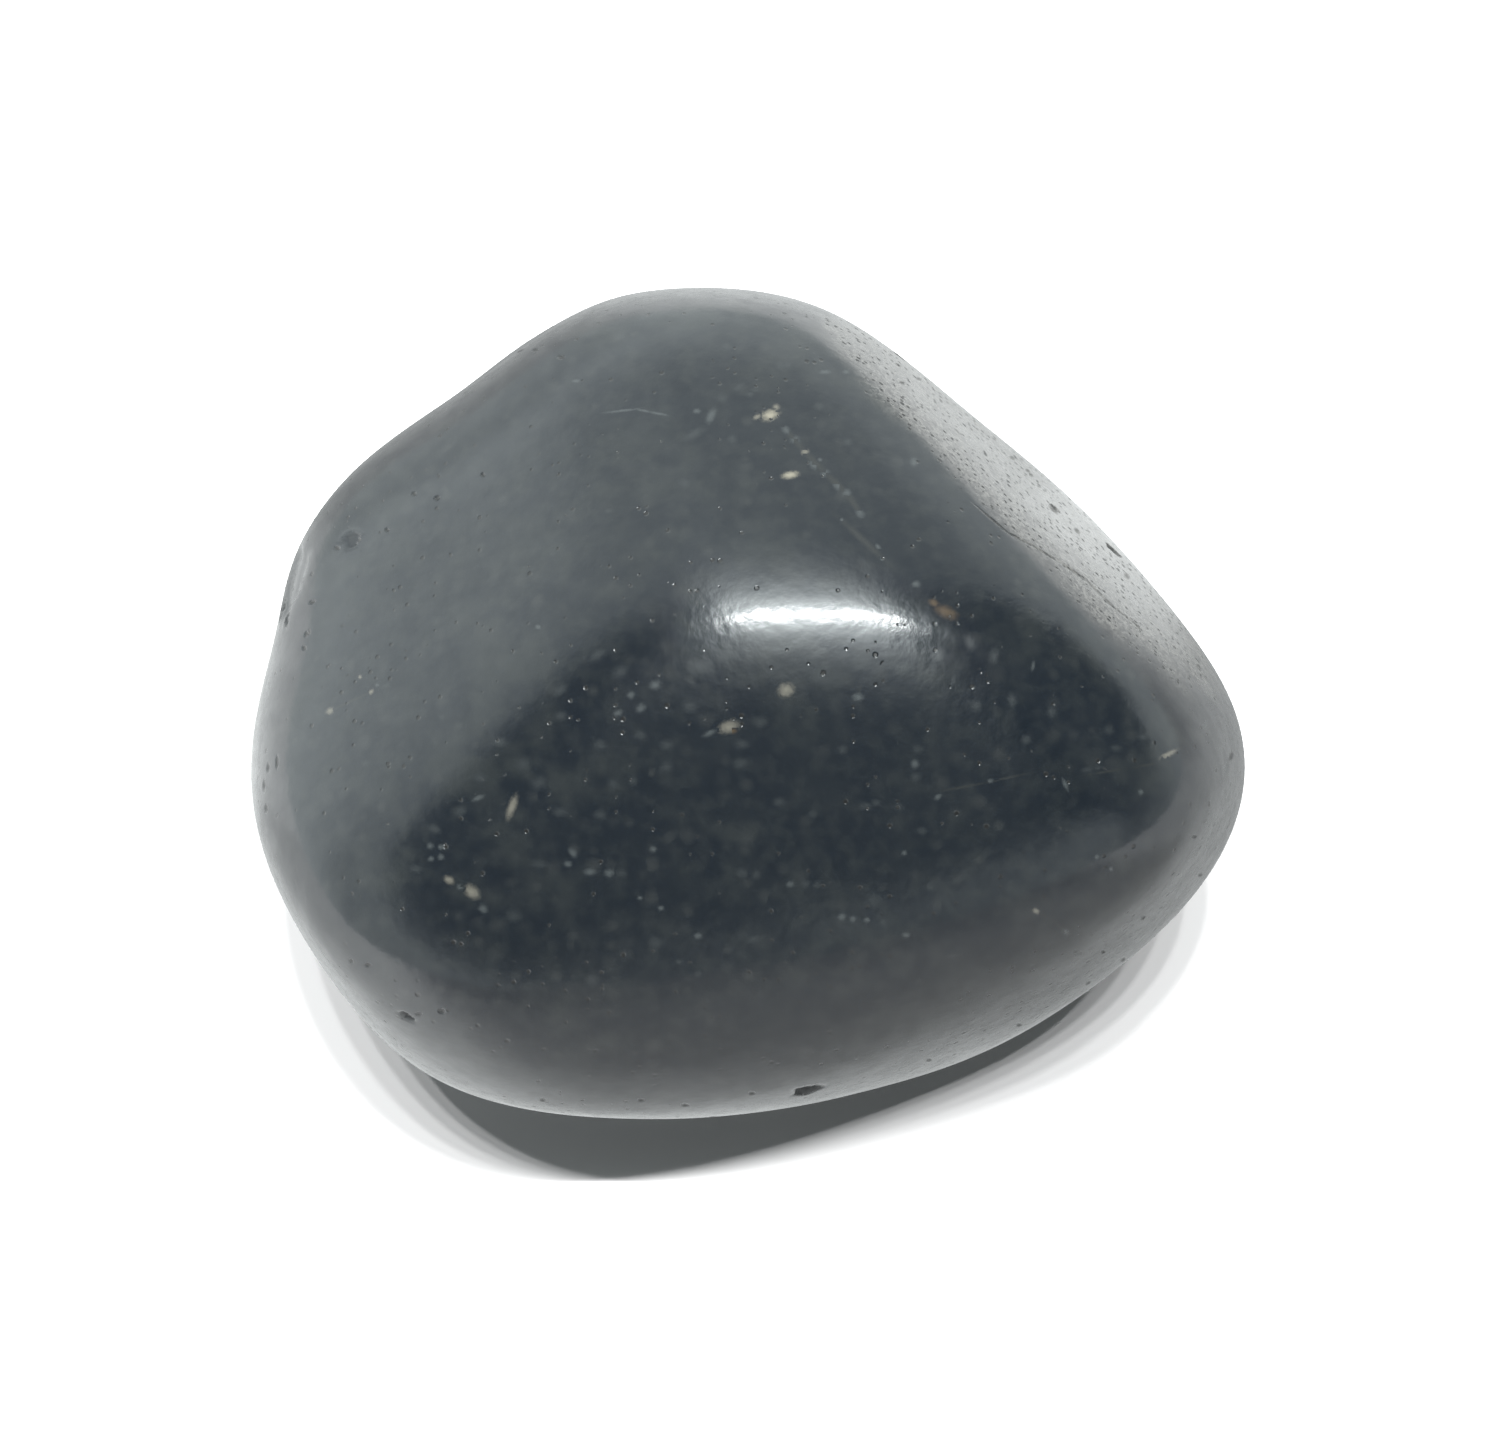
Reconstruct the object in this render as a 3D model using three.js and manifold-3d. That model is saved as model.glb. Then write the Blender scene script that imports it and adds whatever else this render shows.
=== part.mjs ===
// A tumbled and polished shungite stone: one solid lump with worn flats, soft ridges,
// a shallow saddle, a few open pits and two polished chips, resting on its own worn flat.
// Millimetres, +Z up, origin at the bottom centre of the stone's box.

import * as THREE from 'three';
import { mergeVertices } from 'three/addons/utils/BufferGeometryUtils.js';
import Module from 'manifold-3d';

// The stone's middle, and how high it stands above the surface that the stone rests on.
const MIDDLE_HEIGHT = 11;

// How sharply two neighbouring flats meet: a higher power gives a tighter ridge.
const RIDGE_POWER = 13;

// The rest flat: material below the surface is worn away, with a rim softened over this height.
const REST_RIM = 0.35;

// Each ridge of the ball that is pushed out to the stone's surface is cut this many times.
const BALL_DETAIL = 17;

// The worn flats: the way each one faces, as azimuth from +X towards +Y and elevation from
// the level, in degrees, and its distance from the stone's middle.
const FLATS = [
  { name: 'front face', azimuth: 270, elevation: 41, distance: 12.2 },
  { name: 'crown', azimuth: 281, elevation: 84, distance: 12.6 },
  { name: 'right shoulder', azimuth: 345, elevation: 59, distance: 15.0 },
  { name: 'left face', azimuth: 208, elevation: 58, distance: 13.1 },
  { name: 'right slope', azimuth: 31, elevation: 39, distance: 12.6 },
  { name: 'crown end', azimuth: 90, elevation: 48, distance: 14.95 },
  { name: 'left slope', azimuth: 145, elevation: 40, distance: 15.3 },
  { name: 'left end', azimuth: 168, elevation: 17, distance: 16.7 },
  { name: 'left foot', azimuth: 199, elevation: -9, distance: 18.5 },
  { name: 'left keel', azimuth: 227, elevation: -18, distance: 18.2 },
  { name: 'front foot', azimuth: 265, elevation: -30, distance: 15.9 },
  { name: 'front brow', azimuth: 274, elevation: 5, distance: 14.6 },
  { name: 'front keel', azimuth: 295, elevation: -21, distance: 14.2 },
  { name: 'right foot', azimuth: 324, elevation: -12, distance: 17.4 },
  { name: 'right end', azimuth: 357, elevation: 12, distance: 18.0 },
  { name: 'underside', azimuth: 0, elevation: -90, distance: 11.6 },
  { name: 'front undercut', azimuth: 262, elevation: -62, distance: 13.8 },
  { name: 'right undercut', azimuth: 355, elevation: -48, distance: 15.2 },
  { name: 'left undercut', azimuth: 180, elevation: -46, distance: 15.2 },
  { name: 'back face', azimuth: 78, elevation: -4, distance: 12.6 },
  { name: 'back right', azimuth: 36, elevation: -22, distance: 14.6 },
  { name: 'back left', azimuth: 135, elevation: -20, distance: 14.6 },
  { name: 'back undercut', azimuth: 95, elevation: -52, distance: 12.1 },
];

// Broad shallow hollows worn into the flats, and swells, which have a depth below zero.
const HOLLOWS = [
  { name: 'left saddle', azimuth: 128, elevation: 24, spread: 14, depth: 0.8 },
  { name: 'left swell', azimuth: 165, elevation: 24, spread: 13, depth: -0.75 },
  { name: 'left brow', azimuth: 173, elevation: 18, spread: 8, depth: -0.3 },
  { name: 'slope hollow', azimuth: 38, elevation: 25, spread: 16, depth: 0.15 },
  { name: 'back hollow', azimuth: 72, elevation: 4, spread: 24, depth: 0.35 },
];

// Open pits, and the shallow chips in which the two slots lie: length along the surface, width
// across it, depth into it, and the turn of the length from the level.
const PITS = [
  { name: 'front pit', azimuth: 279, elevation: -22.2, length: 1.15, width: 0.85, depth: 0.3, turn: -35 },
  { name: 'foot pit', azimuth: 229.9, elevation: -0.1, length: 0.62, width: 0.42, depth: 0.16, turn: -35 },
  { name: 'face pit', azimuth: 175.7, elevation: 29.2, length: 0.75, width: 0.65, depth: 0.09, turn: 20 },
  { name: 'upper slot', azimuth: 179.6, elevation: 16.7, length: 0.9, width: 0.34, depth: 0.14, turn: -31 },
  { name: 'lower slot', azimuth: 177, elevation: 14.2, length: 0.9, width: 0.34, depth: 0.14, turn: -31 },
  { name: 'slope slot', azimuth: 19.1, elevation: 13.3, length: 0.55, width: 0.7, depth: 0.18, turn: 48 },
  { name: 'upper slope slot', azimuth: 22, elevation: 25.7, length: 0.4, width: 0.6, depth: 0.12, turn: 35 },
  { name: 'back pit', azimuth: 96, elevation: 12, length: 1.1, width: 0.6, depth: 0.3, turn: 35 },
  { name: 'right back pit', azimuth: 28, elevation: -16, length: 0.9, width: 0.5, depth: 0.25, turn: -60 },
  { name: 'back nick', azimuth: 62, elevation: 34, length: 0.8, width: 0.4, depth: 0.14, turn: -15 },
  { name: 'underside pit', azimuth: 250, elevation: -66, length: 1.2, width: 0.8, depth: 0.3, turn: 10 },
  { name: 'left chip', azimuth: 175, elevation: 18.2, length: 3.0, width: 2.3, depth: 0.2, turn: -28 },
  { name: 'back chip', azimuth: 128, elevation: 2, length: 2.2, width: 1.2, depth: 0.14, turn: 20 },
];
const PIT_DETAIL = 2;

const stoneMaterial = new THREE.MeshStandardMaterial({
  name: 'polished_shungite',
  color: 0x17191c,
  roughness: 0.16,
  metalness: 0.0,
});

const middle = new THREE.Vector3(0, 0, MIDDLE_HEIGHT);

// The unit vector that faces an azimuth and an elevation.
function facing({ azimuth, elevation }) {
  const turn = THREE.MathUtils.degToRad(azimuth);
  const lift = THREE.MathUtils.degToRad(elevation);
  return new THREE.Vector3(
    Math.cos(lift) * Math.cos(turn),
    Math.cos(lift) * Math.sin(turn),
    Math.sin(lift),
  );
}

const flats = FLATS.map((flat) => ({ ...flat, normal: facing(flat) }));
const hollows = HOLLOWS.map((hollow) => ({ ...hollow, normal: facing(hollow) }));

// The distance from the middle to the surface along a unit direction. The flats are blended:
// each one's share is its lean over its distance, raised to the ridge power, and the shares add
// up to one on the surface. Hollows then lower it by a bell curve about their own direction.
function reach(direction) {
  let shares = 0;
  for (const { normal, distance } of flats) {
    const lean = Math.max(0, direction.dot(normal));
    shares += (lean / distance) ** RIDGE_POWER;
  }
  let result = shares ** (-1 / RIDGE_POWER);
  for (const { normal, spread, depth } of hollows) {
    const narrowness = 1 - Math.cos(THREE.MathUtils.degToRad(spread));
    result -= depth * Math.exp((direction.dot(normal) - 1) / narrowness);
  }
  return result;
}

// Wears everything below zero height down to the rest flat, with a rounded rim.
function wear(height) {
  if (height <= -REST_RIM) return 0;
  if (height >= REST_RIM) return height;
  return (height + REST_RIM) ** 2 / (4 * REST_RIM);
}

function lumpGeometry() {
  const ball = new THREE.IcosahedronGeometry(1, BALL_DETAIL);
  ball.deleteAttribute('normal');
  ball.deleteAttribute('uv');
  const lump = mergeVertices(ball);
  const position = lump.attributes.position;
  const point = new THREE.Vector3();
  for (let i = 0; i < position.count; i += 1) {
    const direction = point.fromBufferAttribute(position, i).normalize();
    point.multiplyScalar(reach(direction)).add(middle);
    position.setXYZ(i, point.x, point.y, wear(point.z));
  }
  return lump;
}

// A lens that is sunk into the surface to its depth, with its length turned from the level.
function pitGeometry(pit) {
  const outward = facing(pit);
  const level = new THREE.Vector3(0, 0, 1).cross(outward).normalize();
  const rise = outward.clone().cross(level);
  const turn = THREE.MathUtils.degToRad(pit.turn);
  const along = level.clone().multiplyScalar(Math.cos(turn));
  along.addScaledVector(rise, Math.sin(turn));
  const across = outward.clone().cross(along);
  const lens = new THREE.IcosahedronGeometry(1, PIT_DETAIL);
  lens.deleteAttribute('normal');
  lens.deleteAttribute('uv');
  const merged = mergeVertices(lens);
  merged.scale(pit.length / 2, pit.width / 2, pit.depth);
  merged.applyMatrix4(new THREE.Matrix4().makeBasis(along, across, outward));
  const seat = outward.clone().multiplyScalar(reach(outward)).add(middle);
  merged.translate(seat.x, seat.y, seat.z);
  return merged;
}

const wasm = await Module();
wasm.setup();

function solidFrom(geometry) {
  return new wasm.Manifold(new wasm.Mesh({
    numProp: 3,
    vertProperties: new Float32Array(geometry.attributes.position.array),
    triVerts: new Uint32Array(geometry.index.array),
  }));
}

function geometryFrom(solid) {
  const { vertProperties, triVerts } = solid.getMesh();
  const geometry = new THREE.BufferGeometry();
  geometry.setAttribute('position', new THREE.Float32BufferAttribute(vertProperties, 3));
  geometry.setIndex(new THREE.Uint32BufferAttribute(triVerts, 1));
  return geometry;
}

// Puts the bottom centre of the geometry's box at the origin.
function standAtOrigin(geometry) {
  geometry.computeBoundingBox();
  const { min, max } = geometry.boundingBox;
  geometry.translate(-(min.x + max.x) / 2, -(min.y + max.y) / 2, -min.z);
  geometry.computeVertexNormals();
  return geometry;
}

function stoneMesh() {
  let solid = solidFrom(lumpGeometry());
  for (const pit of PITS) {
    solid = solid.subtract(solidFrom(pitGeometry(pit)));
  }
  const mesh = new THREE.Mesh(standAtOrigin(geometryFrom(solid)), stoneMaterial);
  mesh.name = 'stone';
  return mesh;
}

const group = new THREE.Group();
group.add(stoneMesh());

export default group;
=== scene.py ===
import math

import bpy
import numpy as np
from mathutils import Matrix, Vector


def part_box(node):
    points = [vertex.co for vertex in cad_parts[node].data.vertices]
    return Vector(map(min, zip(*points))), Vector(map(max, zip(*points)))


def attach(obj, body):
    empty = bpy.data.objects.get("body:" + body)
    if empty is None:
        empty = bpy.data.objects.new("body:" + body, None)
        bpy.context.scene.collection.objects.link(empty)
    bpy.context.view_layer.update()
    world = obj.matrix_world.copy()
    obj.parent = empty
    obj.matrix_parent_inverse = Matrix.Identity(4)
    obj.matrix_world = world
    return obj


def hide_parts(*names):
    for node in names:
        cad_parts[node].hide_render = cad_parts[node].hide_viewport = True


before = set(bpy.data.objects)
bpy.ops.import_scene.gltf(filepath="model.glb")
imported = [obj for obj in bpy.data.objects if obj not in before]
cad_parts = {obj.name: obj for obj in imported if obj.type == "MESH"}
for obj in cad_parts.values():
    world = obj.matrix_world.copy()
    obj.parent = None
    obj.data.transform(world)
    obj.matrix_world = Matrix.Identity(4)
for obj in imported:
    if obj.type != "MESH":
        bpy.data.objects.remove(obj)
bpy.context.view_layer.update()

# ---- Stone ------------------------------------------------------------------------------------
# One lump of shungite, a glassy black carbon rock, broken and then tumbled to a polish. Worn flats
# meet in soft ridges, and it lies on a worn flat underneath. Pale specks and dotted veins show in
# the polish, and pits, pores and one long hairline crack stay open in it.
MM = 0.001
MIDDLE_HEIGHT = 11 * MM
RIDGE_POWER = 13
REST_RIM = 0.35 * MM

# The way each flat faces, as azimuth from +X and elevation in degrees, and its distance in mm.
FLATS = (
    ("front face", 270, 41, 12.2),
    ("crown", 281, 84, 12.6),
    ("right shoulder", 345, 59, 15.0),
    ("left face", 208, 58, 13.1),
    ("right slope", 31, 39, 12.6),
    ("crown end", 90, 48, 14.95),
    ("left slope", 145, 40, 15.3),
    ("left end", 168, 17, 16.7),
    ("left foot", 199, -9, 18.5),
    ("left keel", 227, -18, 18.2),
    ("front foot", 265, -30, 15.9),
    ("front brow", 274, 5, 14.6),
    ("front keel", 295, -21, 14.2),
    ("right foot", 324, -12, 17.4),
    ("right end", 357, 12, 18.0),
    ("underside", 0, -90, 11.6),
    ("front undercut", 262, -62, 13.8),
    ("right undercut", 355, -48, 15.2),
    ("left undercut", 180, -46, 15.2),
    ("back face", 78, -4, 12.6),
    ("back right", 36, -22, 14.6),
    ("back left", 135, -20, 14.6),
    ("back undercut", 95, -52, 12.1),
)

# Broad hollows, and swells below zero: azimuth, elevation and spread in degrees, depth in mm.
HOLLOWS = (
    ("left saddle", 128, 24, 14, 0.8),
    ("left swell", 165, 24, 13, -0.75),
    ("left brow", 173, 18, 8, -0.3),
    ("slope hollow", 38, 25, 16, 0.15),
    ("back hollow", 72, 4, 24, 0.35),
)


def facing(azimuth, elevation):
    """Unit vectors that face the azimuths and elevations given in degrees."""
    turn = np.radians(azimuth)
    lift = np.radians(elevation)
    return np.stack([np.cos(lift) * np.cos(turn), np.cos(lift) * np.sin(turn), np.sin(lift)], -1)


flat_normals = facing([flat[1] for flat in FLATS], [flat[2] for flat in FLATS])
flat_distances = np.array([flat[3] for flat in FLATS]) * MM


def lump_reach(directions):
    """Distance from the middle to the smooth surface along unit directions: each flat's share is
    its lean over its distance to the ridge power, the shares add up to one on the surface, and
    bell curves about the hollows' directions are then taken off."""
    leans = np.maximum(directions @ flat_normals.T, 0) / flat_distances
    reach = (leans ** RIDGE_POWER).sum(-1) ** (-1 / RIDGE_POWER)
    for _, azimuth, elevation, spread, depth in HOLLOWS:
        narrowness = 1 - math.cos(math.radians(spread))
        lean = directions @ facing(azimuth, elevation)
        reach = reach - depth * MM * np.exp((lean - 1) / narrowness)
    return reach


def worn_height(height):
    """Heights with all below zero worn down to the rest flat, by a parabola within the rim."""
    rim = (height + REST_RIM) ** 2 / (4 * REST_RIM)
    return np.where(height <= -REST_RIM, 0, np.where(height >= REST_RIM, height, rim))


def ball_grid(count):
    """Unit directions and quads of a ball: six square grids of equal angles, which meet in
    shared rows so that the ball has no seam and no pole."""
    steps = np.tan(np.linspace(-1, 1, count + 1) * math.pi / 4)
    across, along = np.meshgrid(steps, steps, indexing="ij")
    ones = np.ones_like(across)
    faces = [
        (ones, across, along), (-ones, -across, along),
        (-across, ones, along), (across, -ones, along),
        (-along, across, ones), (along, across, -ones),
    ]
    grid = np.stack([np.stack(face, -1) for face in faces]).reshape(-1, 3)
    grid = grid / np.linalg.norm(grid, axis=1, keepdims=True)
    corner = np.arange(count)
    start = (corner[:, None] * (count + 1) + corner[None, :]).reshape(-1)
    quad = np.stack([start, start + count + 1, start + count + 2, start + 1], 1)
    offsets = np.arange(len(faces)) * (count + 1) ** 2
    quads = (quad[None] + offsets[:, None, None]).reshape(-1, 4)
    _, first, shared = np.unique(np.round(grid, 6), axis=0, return_index=True, return_inverse=True)
    return grid[first], shared.reshape(-1)[quads]


# Open pits and slots, and shallow polished chips: azimuth and elevation, length along the surface,
# width across it and depth into it in mm, the turn of the length from the level, and how far in
# from the edge the wall ends.
PITS = (
    ("front pit", 279, -22.2, 1.15, 0.85, 0.3, -35, 0.5),
    ("foot pit", 229.9, -0.1, 0.62, 0.42, 0.16, -35, 0.5),
    ("face pit", 175.7, 29.2, 0.75, 0.65, 0.09, 20, 0.2),
    ("upper slot", 179.6, 16.7, 0.9, 0.34, 0.14, -31, 0.4),
    ("lower slot", 177, 14.2, 0.9, 0.34, 0.14, -31, 0.4),
    ("slope slot", 19.1, 13.3, 0.55, 0.7, 0.18, 48, 0.4),
    ("upper slope slot", 22, 25.7, 0.4, 0.6, 0.12, 35, 0.4),
    ("back pit", 96, 12, 1.1, 0.6, 0.3, 35, 0.5),
    ("right back pit", 28, -16, 0.9, 0.5, 0.25, -60, 0.5),
    ("back nick", 62, 34, 0.8, 0.4, 0.14, -15, 0.4),
    ("underside pit", 250, -66, 1.2, 0.8, 0.3, 10, 0.5),
)
CHIPS = (
    ("left chip", 175, 18.2, 3.0, 2.3, 0.2, -28, 0.45),
    ("back chip", 128, 2, 2.2, 1.2, 0.14, 20, 0.6),
)

# Their wavy edges, as bumps round the edge and their height as a share of its radius, and the
# depth from which a pit is fully dull.
PIT_EDGE_BUMPS = ((3, 0.09), (5, 0.06))
PIT_SHADE_DEPTH = 0.1 * MM

# The grid: its steps along each side of the six squares, and how it is gathered at the pits, as
# the angle in radians over which that fades and the share by which it draws in.
GRID_STEPS = 128
PIT_GATHER = 0.09
PIT_GATHER_SHARE = 0.6


def gathered(directions):
    """Directions drawn in towards each pit, so that the grid is finer there: the angle from the
    pit shrinks by a share that fades as a bell curve of that angle."""
    for _, azimuth, elevation, *_ in PITS + CHIPS:
        pit = facing(azimuth, elevation)
        lean = np.clip(directions @ pit, -1, 1)
        angle = np.arccos(lean)
        smaller = angle * (1 - PIT_GATHER_SHARE * np.exp(-(angle / PIT_GATHER) ** 2))
        sideways = directions - lean[:, None] * pit
        sideways = sideways / np.maximum(np.linalg.norm(sideways, axis=1, keepdims=True), 1e-9)
        directions = np.cos(smaller)[:, None] * pit + np.sin(smaller)[:, None] * sideways
    return directions


def pit_depths(directions, pits):
    """How deep the pits go at each direction: an oval with a slightly wavy edge, a flat floor and
    a smooth wall from the edge inwards. Where two pits meet, the depths add."""
    (three, three_high), (five, five_high) = PIT_EDGE_BUMPS
    depths = np.zeros(len(directions))
    for _, azimuth, elevation, length, width, depth, turn, wall in pits:
        pit = facing(azimuth, elevation)
        level = np.array([-pit[1], pit[0], 0]) / math.hypot(pit[0], pit[1])
        rise = np.cross(pit, level)
        turned = math.radians(turn)
        lengthways = level * math.cos(turned) + rise * math.sin(turned)
        crossways = rise * math.cos(turned) - level * math.sin(turned)
        offset = directions * lump_reach(pit[None])[0]
        down_length = offset @ lengthways / (length * MM / 2)
        down_width = offset @ crossways / (width * MM / 2)
        around = np.arctan2(down_width, down_length)
        wobble = 1 + three_high * np.sin(three * around + azimuth)
        wobble = wobble + five_high * np.sin(five * around + elevation)
        inward = np.clip((1 - np.hypot(down_length, down_width) * wobble) / wall, 0, 1)
        inward = np.where(directions @ pit > 0, inward, 0)
        depths = depths + depth * MM * inward ** 2 * (3 - 2 * inward)
    return depths


# The swells left by the tumbling.
WAVES = 10
WAVE_HEIGHT = 0.004 * MM
WAVE_LENGTH = 4.5 * MM
WAVE_LENGTH_SHARES = (0.7, 1.5)
WAVE_SEED = 7


def waves(places):
    """Faint swells left by the tumbling: a sum of sine waves in seeded directions."""
    dice = np.random.default_rng(WAVE_SEED)
    swell = np.zeros(len(places))
    for _ in range(WAVES):
        way = dice.normal(size=3)
        wave_length = WAVE_LENGTH * dice.uniform(*WAVE_LENGTH_SHARES)
        way = way / np.linalg.norm(way) * 2 * math.pi / wave_length
        swell = swell + np.sin(places @ way + dice.uniform(0, 2 * math.pi))
    return swell * WAVE_HEIGHT / math.sqrt(WAVES)


directions, quads = ball_grid(GRID_STEPS)
directions = gathered(directions)
smooth_surface = directions * lump_reach(directions)[:, None]
lowered = pit_depths(directions, PITS + CHIPS) - waves(smooth_surface)
surface = smooth_surface - directions * lowered[:, None]
surface[:, 2] = worn_height(surface[:, 2] + MIDDLE_HEIGHT)
cad_low, cad_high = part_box("stone")
shift = np.array((cad_low + cad_high) / 2) - (surface.min(0) + surface.max(0)) / 2
shift[2] = 0
middle = shift + [0, 0, MIDDLE_HEIGHT]
surface = surface + shift
pit_shade = np.clip(pit_depths(directions, PITS) / PIT_SHADE_DEPTH, 0, 1)

# The lens through which the marks are placed. It looks down on the front face, and sees the
# stone's middle at the middle pixel. Pixels are counted from the top left.
IMAGE_WIDTH, IMAGE_HEIGHT = 1495, 1445
CAMERA_LIFT = 50
CAMERA_DISTANCE = 220 * MM
PIXELS_PER_METRE = 28100
MIDDLE_PIXEL = (748, 706)

lift = math.radians(CAMERA_LIFT)
view_back = np.array([0, -math.cos(lift), math.sin(lift)])
view_up = np.array([0, math.sin(lift), math.cos(lift)])
view_right = np.array([1.0, 0, 0])
aim_right = (IMAGE_WIDTH / 2 - MIDDLE_PIXEL[0]) / PIXELS_PER_METRE
aim_down = (IMAGE_HEIGHT / 2 - MIDDLE_PIXEL[1]) / PIXELS_PER_METRE
aim = middle + aim_right * view_right - aim_down * view_up
camera_place = aim + CAMERA_DISTANCE * view_back

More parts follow.
